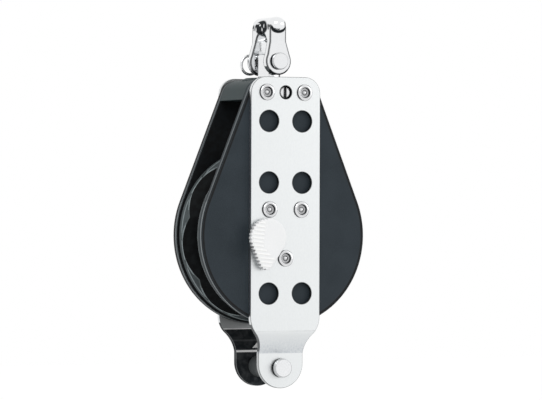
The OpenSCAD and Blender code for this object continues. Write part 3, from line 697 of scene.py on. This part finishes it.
# shackle: a forging, so its edges melt into each other; its sharp lines get painted shade, a painted dark
# reflection.
# The painted dark patch and painted highlights on its flanks are ellipses: middle and half size, in Y and Z
shackle = {"flat": 0.05, "voxel": 0.2, "passes": 8, "factor": 0.5, "sharp": 35, "sampling": 0.12,
           "smoothAbove": 92.5, "archWithin": 7, "acrossShare": 0.9, "edgeTone": 0.85,
           "edgeReach": (0.42, 0.72), "footBelow": 70.9, "footTone": 1.0, "footReach": (0.5, 0.85),
           "crease": {"above": 85.5, "below": 89.6, "beyond": 8, "within": 3.6, "reach": (0.75, 0.95)},
           "flank": {"middle": (-0.1, 89.4), "half": (6.3, 3.2), "beyond": 1.4, "tone": 1.0,
                     "reach": (0.85, 1.05), "lightReach": (0.7, 1.2),
                     "lights": [(0.9, 90.4, 0.8, 0.4), (-0.9, 88.2, 0.45, 1.2), (-2.9, 90.0, 0.4, 0.9),
                                (3.4, 91.2, 1.9, 0.3), (4.9, 88.8, 0.4, 0.9)]}}


def sharpSamples(mesh, settings):
    # points along the sharp lines of a mesh, in millimetres, without those under the arch and on top
    shell = opened(mesh)
    points = []
    for edge in shell.edges:
        if len(edge.link_faces) != 2 or degrees(edge.calc_face_angle(0)) <= settings["sharp"]:
            continue
        start, end = (vert.co / mm for vert in edge.verts)
        length = (end - start).length
        across = abs(end.x - start.x) > settings["acrossShare"] * length
        if across and max(abs(start.y), abs(end.y)) < settings["archWithin"]:
            continue
        if min(start.z, end.z) > settings["smoothAbove"]:
            continue
        steps = max(1, round(length / settings["sampling"]))
        points += [start.lerp(end, i / steps) for i in range(steps + 1)]
    shell.free()
    tree = KDTree(len(points))
    for i, point in enumerate(points):
        tree.insert(point, i)
    tree.balance()
    return tree


def fade(value, span):
    # 1 up to the start of the span, 0 from its end
    share = min(max((value - span[0]) / (span[1] - span[0]), 0), 1)
    return 1 - share * share * (3 - 2 * share)


def shackleTone(place, lines, settings):
    nearest, _, distance = lines.find(place)
    # painted shade: darker near the sharp lines, near the foot and in a painted shadow along the crease under
    # the crown
    tone = settings["edgeTone"] * fade(distance, settings["edgeReach"])
    if nearest.z < settings["footBelow"]:
        tone = max(tone, settings["footTone"] * fade(distance, settings["footReach"]))
    crease = settings["crease"]
    if (crease["above"] < nearest.z < crease["below"] and abs(nearest.y) > crease["beyond"]
            and abs(nearest.x) < crease["within"]):
        tone = max(tone, fade(distance, crease["reach"]))
    # painted reflection: the crown's flanks are painted dark with a few painted light streaks
    flank = settings["flank"]
    if abs(place.x) > flank["beyond"]:
        spots = [(*flank["middle"], *flank["half"]), *flank["lights"]]
        reaches = [hypot((place.y - y) / halfY, (place.z - z) / halfZ) for y, z, halfY, halfZ in spots]
        shade = fade(reaches[0], flank["reach"])
        for reach in reaches[1:]:
            shade *= 1 - fade(reach, flank["lightReach"])
        tone = max(tone, flank["tone"] * shade)
    return tone


def forgeShackle(settings):
    plain = mergedCopy("shackle", settings["flat"])
    lines = sharpSamples(plain, settings)
    holder = linked("shackleHolder", plain)
    modify(holder, "voxels", "REMESH", mode="VOXEL", voxel_size=settings["voxel"] * mm)
    modify(holder, "forgedEdges", "SMOOTH", factor=settings["factor"], iterations=settings["passes"])
    mesh = evaluatedMesh(holder, "forgedShackle")
    mesh.shade_smooth()
    maskTones(mesh, [shackleTone(vert.co / mm, lines, settings) for vert in mesh.vertices], "POINT")
    addPiece("forgedShackle", mesh, "shackle", "polishedStainless", ["shackle"])


forgeShackle(shackle)
print("shackle forged")


# small helpers for geometry nodes
def newGeometryTree(name, inputs):
    return newTree(name, "GeometryNodeTree", {"Geometry": ("Geometry",), **inputs, "Material": ("Finish",)},
                   {"Geometry": ("Geometry",)})


def endTree(tree, given, out, geometry):
    # every tree ends in real geometry with its finish
    real = put(tree, "GeometryNodeRealizeInstances", (800, 0), {0: geometry})
    finish = put(tree, "GeometryNodeSetMaterial", (1000, 0),
                 {"Geometry": real.outputs[0], "Material": given["Finish"]})
    feed(tree, out, {"Geometry": finish.outputs[0]})
    return tree


def growMesh(tree, name, finish, values, base=None):
    # runs a tree with its inputs set and gives back what it makes as a plain mesh
    holder = linked(name + "Holder", base or bpy.data.meshes.new(name + "Base"))
    grower = modify(holder, name, "NODES", node_group=tree)
    sockets = {s.name: s.identifier for s in tree.interface.items_tree if s.in_out == "INPUT"}
    for label, value in {**values, "Finish": finishes[finish]}.items():
        grower[sockets[label]] = value
    mesh = evaluatedMesh(holder, name)
    mesh.shade_smooth()
    return mesh


def namedVector(tree, name, place):
    return put(tree, "GeometryNodeInputNamedAttribute", place, {"Name": name},
               data_type="FLOAT_VECTOR").outputs["Attribute"]


def buildRepeats():
    # a copy of the given mesh on every place, turned and stretched as the place says
    tree, given, out = newGeometryTree("copiesAtPlaces", {"Object": ("Places",)})
    places = put(tree, "GeometryNodeObjectInfo", (-900, 200), {"Object": given["Places"]})
    turn = put(tree, "FunctionNodeEulerToRotation", (-600, -100),
               {0: namedVector(tree, "turn", (-900, -100))})
    copies = put(tree, "GeometryNodeInstanceOnPoints", (-200, 0),
                 {"Points": places.outputs["Geometry"], "Instance": given["Geometry"],
                  "Rotation": turn.outputs[0], "Scale": namedVector(tree, "stretch", (-900, -300))})
    return endTree(tree, given, out, copies.outputs[0])


repeatTree = buildRepeats()


def copiesAt(name, single, finish, places):
    # each place: a point, a turn in degrees and a stretch
    points, turns, stretches = zip(*places)
    spots = bpy.data.meshes.new(name + "Spots")
    spots.from_pydata([Vector(point) for point in points], [], [])
    for label, values in (("turn", [radians(angle) for turn in turns for angle in turn]),
                          ("stretch", [share for stretch in stretches for share in stretch])):
        spots.attributes.new(label, "FLOAT_VECTOR", "POINT").data.foreach_set("vector", values)
    marker = linked(name + "Spots", spots)
    mesh = growMesh(repeatTree, name, finish, {"Places": marker}, single)
    bpy.data.objects.remove(marker)
    return mesh


def joinedMesh(name, meshes):
    shell = bmesh.new()
    for mesh in meshes:
        shell.from_mesh(mesh)
    whole = closed(shell, bpy.data.meshes.new(name))
    whole.shade_smooth()
    return whole


def lathedMesh(name, profile, segments=48, tones=None, brokenFrom=0, fadeGain=1.5):
    # a profile of radius and height turned about Z, with a painted shade mask for each step if wanted; from
    # the step brokenFrom on the painted shade fades towards +Y and -Y
    angles = [2 * pi * i / segments for i in range(segments)]
    rings = [[(radius * mm * cos(a), radius * mm * sin(a), height * mm) for a in (angles if radius else [0])]
             for radius, height in profile]
    mesh = ringedSolid(name, rings, segments, capped=False)
    if tones:
        across = [min(1, fadeGain * abs(cos(2 * pi * (i + 0.5) / segments)))
                  for i in range(segments)]
        maskTones(mesh, [tone * (share if step >= brokenFrom else 1)
                         for step, tone in enumerate(tones) for share in across])
    return mesh


# rivets: a rolled head with a dimple and a pip, set on both faces of the block; painted shade in dark rings
# on the head
rivets = {"headRadius": 3.6, "roll": 0.9, "bore": 2.05, "depth": 0.1, "pip": 1.0, "lip": 0.25,
          "pipHeight": 0.4, "pipShoulder": 0.3, "plateGap": 0.1, "brokenFrom": 12,
          "tones": (0.2, 0.6, 1, 0.5, 0.9, 1, 1, 1, 1, 0.2, 0, 0.1, 0.8, 1, 1, 1, 1)}


def arcAt(radius, height, size, angles):
    return [(radius + size * cos(radians(d)), height + size * sin(radians(d)))
            for d in angles]


def rivetProfile(settings):
    # radius and height above the plate, from the middle of the dimple out to under the rim
    radius, roll, bore, floor = (settings[k] for k in ("headRadius", "roll", "bore", "depth"))
    lip, pip = settings["lip"], settings["pip"]
    inside = [(0, settings["pipHeight"] - floor), (pip * 0.6, settings["pipShoulder"] - floor),
              (pip, 0.02 - floor), (pip + 0.2, -floor),
              (bore - 0.15, -floor), (bore, 0.15 - floor), (bore, roll - lip)]
    return (inside + arcAt(bore + lip, roll - lip, lip, (150, 120, 90))
            + arcAt(radius - roll, 0, roll, (80, 65, 50, 35, 20, 5))
            + [(radius - 0.05, settings["plateGap"] / 2), (radius - 0.4, 0)])


def setRivets(name, node, places):
    # places: how far each rivet is along the node's box, in X and Z, less the head's radius
    low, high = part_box(node)
    r = rivets["headRadius"] * mm
    roll = rivets["roll"] * mm
    spots = []
    for alongX, alongZ in places:
        x = low.x + r + (high.x - low.x - 2 * r) * alongX
        z = low.z + r + (high.z - low.z - 2 * r) * alongZ
        spots += [((x, low.y + roll, z), (90, 0, 0), (1, 1, 1)),
                  ((x, high.y - roll, z), (-90, 0, 0), (1, 1, 1))]
    head = lathedMesh(name + "Head", rivetProfile(rivets), tones=rivets["tones"],
                      brokenFrom=rivets["brokenFrom"])
    addPiece(name, copiesAt(name, head, "rivetStainless", spots), "frame", "rivetStainless", [node])


setRivets("headRivetHeads", "head_rivets", [(0, 0.5), (1, 0.5)])
setRivets("hubRivetHeads", "hub_rivets", [(0, 1), (1, 1), (0.5, 0)])
print("rivets set")


# thumb lever: a disc with a leaning tail, a notched rim on the left and grip ridges
lever = {"axis": (-9.6, -1.0), "discRadius": 8.4, "tipRadius": 3.3, "reach": 10.4, "cant": 5.5,
         "back": -17.7, "thickness": 2.4, "edge": 0.5, "backEdge": 0.3, "backCorner": 0.08,
         "faceInset": 0.6, "notchDepth": 0.45, "pitch": 1.65, "notchesFrom": 95, "spacing": 0.2,
         "notchTone": 0.75, "notchGain": 1.4, "notchFacing": 0.35, "notchLayers": 5, "upperShare": 0.45,
         "ridgeTone": -0.9, "ridgeHeight": 0.12, "ridgeWidth": 0.85, "ridgeX": -2.1, "ridgeSlope": 1.3,
         "ridgeInset": 0.45, "shortestRidge": 0.8, "topGap": 1, "collarRadius": 6.4, "collarEdge": 0.15,
         "shaftRadius": 4.0, "plateFace": -16.8, "shaftEnd": -11.0}


def leverShape(settings):
    # the radii of disc and tip, how far apart they are, and how far the flanks lean
    disc, tip, reach = (settings[k] for k in ("discRadius", "tipRadius", "reach"))
    return disc, tip, reach, asin((disc - tip) / reach)


def unitAt(angle):
    return Vector((cos(angle), sin(angle)))


def leverRim(settings):
    # points round the lever with their outward normals and how deep the rim is notched there
    disc, tip, reach, lean = leverShape(settings)
    flank = reach * cos(lean)
    ends = list(accumulate([disc * (pi + 2 * lean), flank, tip * (pi - 2 * lean), flank]))
    first = disc * (radians(settings["notchesFrom"]) + lean)
    last = ends[1] + tip * (pi / 2 - lean)
    tail = Vector((0, -reach))
    count = round(ends[3] / settings["spacing"])
    rim = []
    for i in range(count):
        s = ends[3] * i / count
        if s < ends[0]:
            normal = unitAt(s / disc - lean)
            place = normal * disc
        elif s < ends[1]:
            normal = -unitAt(lean)
            place = normal * disc + normal.orthogonal() * (s - ends[0])
        elif s < ends[2]:
            normal = unitAt(pi + lean + (s - ends[1]) / tip)
            place = tail + normal * tip
        else:
            normal = unitAt(-lean)
            place = tail + normal * tip + normal.orthogonal() * (s - ends[2])
        depth = 0
        if first < s < last:
            depth = settings["notchDepth"] * abs(sin(pi * (s - first) / settings["pitch"])) ** 3
        rim.append((place, normal, depth))
    return rim


def leverHalfWidth(settings, z):
    disc, tip, reach, lean = leverShape(settings)
    if z > -disc * sin(lean):
        return sqrt(max(disc * disc - z * z, 0))
    if z < -reach - tip * sin(lean):
        return sqrt(max(tip * tip - (z + reach) ** 2, 0))
    return (disc + z * sin(lean)) / cos(lean)


def notchTone(settings, normal, depth):
    # painted shade in the notches, where the rim looks up or down, less of it above
    shade = min(1, depth / settings["notchDepth"] * settings["notchGain"])
    shade *= abs(normal.y) > settings["notchFacing"]
    return settings["notchTone"] * shade * (settings["upperShare"] if normal.y > 0 else 1)


def leverBody(settings):
    rim = leverRim(settings)
    back, edge, backEdge = (settings[k] for k in ("back", "edge", "backEdge"))
    front = back - settings["thickness"]
    # each layer: how far in from the rim, and its place in Y
    layers = [(backEdge, back), (settings["backCorner"], back - settings["backCorner"]), (0, back - backEdge)]
    layers += [(edge - edge * cos(a), front + edge - edge * sin(a))
               for a in (radians(d) for d in (0, 22, 45, 67, 90))]
    layers += [(edge + settings["faceInset"], front)]
    rings = []
    for inset, y in layers:
        spots = [place - normal * (inset + depth) for place, normal, depth in rim]
        rings.append([(spot.x * mm, y * mm, spot.y * mm) for spot in spots])
    mesh = ringedSolid("leverBody", rings, len(rim))
    shades = [notchTone(settings, normal, depth) for place, normal, depth in rim]
    plain = (len(layers) - 1 - settings["notchLayers"]) * len(rim) + 2
    maskTones(mesh, shades * settings["notchLayers"] + [0] * plain)
    return mesh


def ridgeMesh(settings):
    # one rounded grip ridge, a millimetre long before it is stretched
    half, height = settings["ridgeWidth"] / 2, settings["ridgeHeight"]
    section = [(-half, 0.1), (-half, -height * 0.35), (-half * 0.55, -height * 0.9), (0, -height),
               (half * 0.55, -height * 0.9), (half, -height * 0.35), (half, 0.1)]
    ends = [(-0.5, 0.75), (-0.44, 1), (0.44, 1), (0.5, 0.75)]
    rings = [[(x * mm, y * mm, z * share * mm) for z, y in section] for x, share in ends]
    mesh = ringedSolid("gripRidge", rings, len(section) - 1)
    # a painted highlight on every ridge
    maskTones(mesh, [settings["ridgeTone"]] * len(mesh.polygons))
    return mesh


def ridgePlaces(settings):
    # from the notched rim to the ridge line, and across the whole tail below the disc
    front = settings["back"] - settings["thickness"]
    disc = settings["discRadius"]
    places = []
    z = settings["pitch"] - settings["reach"] - settings["tipRadius"]
    while z < disc - settings["topGap"]:
        half = leverHalfWidth(settings, z) - settings["notchDepth"] - settings["ridgeInset"]
        right = min(settings["ridgeX"] + max(0, -disc / 2 - z) * settings["ridgeSlope"], half)
        if right + half > settings["shortestRidge"]:
            places.append((((right - half) / 2 * mm, front * mm, z * mm), (0, 0, 0), (right + half, 1, 1)))
        z += settings["pitch"]
    return places


def shaftMesh(settings):
    collar, edge, shaft = (settings[k] for k in ("collarRadius", "collarEdge", "shaftRadius"))
    top = settings["plateFace"] - settings["back"]
    foot = settings["plateFace"] - settings["shaftEnd"]
    mesh = lathedMesh("leverShaft", [(0, top), (collar - edge, top), (collar, top - edge), (collar, edge),
                                     (collar - edge, 0), (shaft, 0), (shaft, foot), (0, foot)])
    mesh.transform(Matrix.Translation((0, settings["plateFace"] * mm, 0))
                   @ Matrix.Rotation(pi / 2, 4, "X"))
    return mesh


def makeLever(settings):
    ridges = copiesAt("gripRidges", ridgeMesh(settings), "whiteSwitch", ridgePlaces(settings))
    whole = joinedMesh("thumbLever", [leverBody(settings), ridges, shaftMesh(settings)])
    x, z = settings["axis"]
    cant = Matrix.Rotation(radians(settings["cant"]), 4, "Y")
    whole.transform(Matrix.Translation((x * mm, 0, z * mm)) @ cant)
    addPiece("thumbLever", whole, "switch", "whiteSwitch", ["switch_knob"])


makeLever(lever)
print("thumb lever made")


# split rings: flat wire wound twice round, fitted into the boxes of the plain rings
splitRings = {"turns": 2.06, "wireWide": 1.1, "wireThick": 0.56, "steps": 40, "sectionSteps": 12}


def buildCoil():
    tree, given, out = newGeometryTree(
        "woundRing", {"Float": ("Radius", "Turns", "Rise", "Wire Wide", "Wire Thick"), "Int": ("Steps",)})
    coil = put(tree, "GeometryNodeCurveSpiral", (-800, 200),
               {"Resolution": given["Steps"], "Rotations": given["Turns"], "Start Radius": given["Radius"],
                "End Radius": given["Radius"], "Height": given["Rise"]})
    upright = put(tree, "GeometryNodeSetCurveNormal", (-500, 200), {0: coil.outputs[0]}, mode="Z_UP")
    section = put(tree, "GeometryNodeCurvePrimitiveCircle", (-800, -200),
                  {"Resolution": splitRings["sectionSteps"], "Radius": 0.5})
    size = put(tree, "ShaderNodeCombineXYZ", (-800, -450),
               {0: given["Wire Wide"], 1: given["Wire Thick"], 2: 1})
    flat = put(tree, "GeometryNodeTransform", (-500, -200),
               {"Geometry": section.outputs[0], "Scale": size.outputs[0]})
    sweep = put(tree, "GeometryNodeCurveToMesh", (-100, 0),
                {"Fill Caps": True, "Curve": upright.outputs[0], "Profile Curve": flat.outputs[0]})
    return endTree(tree, given, out, sweep.outputs[0])


coilTree = buildCoil()


def windRing(name, node, body, settings, facing):
    low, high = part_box(node)
    thick, wide = settings["wireThick"] * mm, settings["wireWide"] * mm
    rise = high.y - low.y - thick
    mesh = growMesh(coilTree, name, "rivetStainless",
                    {"Radius": (high.x - low.x) / 2 - wide / 2, "Turns": settings["turns"], "Rise": rise,
                     "Wire Wide": wide, "Wire Thick": thick, "Steps": settings["steps"]})
    mesh.transform(Matrix.Translation((low + high) / 2) @ Matrix.Rotation(pi / 2, 4, "X")
                   @ Matrix.Rotation(radians(facing), 4, "Z") @ Matrix.Translation((0, 0, -rise / 2)))
    addPiece(name, mesh, body, "rivetStainless", [node])


windRing("shackleSplitRing", "shackle_ring", "post", splitRings, facing=40)
windRing("becketSplitRing", "becket_ring", "frame", splitRings, facing=120)
print("split rings wound")


# stage: the block hangs from its shackle, clear of a pale floor
stage = {"floorDrop": 60.0, "size": 3000.0, "tone": 0.82, "glow": 1.07, "shown": 0.86, "sky": 0.74}

# a dark card behind the shackle on the right, seen only in reflections
card = {"from": 102, "to": 139, "reach": 130, "low": 69, "high": 128, "tone": (0.012, 0.013, 0.014, 1)}
lamps = {"keyLamp": {"power": 6, "size": (0.7, 0.7), "place": (-0.6, -1.0, 0.9)},
         "fillLamp": {"power": 3, "size": (0.9, 0.6), "place": (1.1, -0.8, 0.3)}}


def seenShare(tree):
    # 1 for rays of the camera, of reflections and of refractions
    path = put(tree, "ShaderNodeLightPath", (-700, 200)).outputs
    seen = mathNode(tree, "ADD", (-450, 200), path["Is Camera Ray"], path["Is Glossy Ray"])
    return mathNode(tree, "ADD", (-300, 200), seen, path["Is Transmission Ray"])


def glowing(tree, place, tone, strength):
    return put(tree, "ShaderNodeEmission", place, {0: tone, 1: strength}).outputs[0]


def addSheet(name, corners, material):
    mesh = bpy.data.meshes.new(name)
    mesh.from_pydata(corners, [], [(0, 1, 2, 3)])
    mesh.materials.append(material)
    sheet = linked(name, mesh)
    return sheet


def addFloor(settings):
    # lit like any surface, but shown white to the camera and in reflections, less its shadows
    material = bpy.data.materials.new("paleFloor")
    tree = emptied(material)
    shown = mathNode(tree, "MULTIPLY", (-150, 200), seenShare(tree), settings["shown"])
    tone = settings["tone"]
    plain = put(tree, "ShaderNodeBsdfDiffuse", (-150, 0), {0: (tone, tone, tone, 1)})
    bright = glowing(tree, (-150, -150), (1, 1, 1, 1), settings["glow"])
    mix = put(tree, "ShaderNodeMixShader", (100, 0), {0: shown, 1: plain.outputs[0], 2: bright})
    put(tree, "ShaderNodeOutputMaterial", (350, 0), {0: mix.outputs[0]})
    low = cadBox[0][2] - settings["floorDrop"] * mm
    half = settings["size"] / 2 * mm
    addSheet("studioFloor", [(-half, -half, low), (half, -half, low), (half, half, low), (-half, half, low)],
             material)


def addCard(settings):
    dark = bpy.data.materials.new("darkCard")
    tree = emptied(dark)
    put(tree, "ShaderNodeOutputMaterial", (300, 0), {0: glowing(tree, (0, 0), settings["tone"], 1)})
    reach, low, high = (settings[k] for k in ("reach", "low", "high"))
    first, last = ((reach * sin(radians(settings[k])), -reach * cos(radians(settings[k])))
                   for k in ("from", "to"))
    corners = [(*first, low), (*last, low), (*last, high), (*first, high)]
    board = addSheet("behindRightCard", [Vector(corner) * mm for corner in corners], dark)
    board.visible_camera = board.visible_diffuse = board.visible_shadow = False


def addWorld(level):
    # soft light all round, and plain white wherever the camera or a reflection sees it
    world = bpy.data.worlds.new("paleStudio")
    scene.world = world
    tree = emptied(world)
    sky = put(tree, "ShaderNodeBackground", (150, 0),
              {"Strength": mixed(tree, (-100, 150), seenShare(tree), level, 1), "Color": (1, 1, 1, 1)})
    put(tree, "ShaderNodeOutputWorld", (400, 0), {0: sky.outputs[0]})


def addLamp(name, power, size, place):
    # an area lamp that looks at the origin
    lamp = adjusted(bpy.data.lights.new(name, "AREA"),
                    {"energy": power, "shape": "RECTANGLE", "size": size[0], "size_y": size[1]})
    holder = linked(name, lamp)
    holder.location = Vector(place)
    holder.rotation_euler = Vector(place).to_track_quat("Z", "Y").to_euler()


addFloor(stage)
addCard(card)
addWorld(stage["sky"])
for name, settings in lamps.items():
    addLamp(name, **settings)
print("stage, world and lamps set")

# finishes on the solids that stay as they are
kept = {"hub": "hubMoulding", "ratchet_ring": "ratchetBronze", "front_balls": "ballSteel",
        "rear_balls": "ballSteel", "pawl": "ratchetSteel", "pawl_pin": "rivetStainless",
        "pawl_spring": "ratchetSteel", "switch_crank": "ratchetSteel", "thrust_washer": "whiteSwitch"}
for node, finish in kept.items():
    nodes[node].data.materials.clear()
    nodes[node].data.materials.append(finishes[finish])

scene.view_settings.view_transform = "Standard"
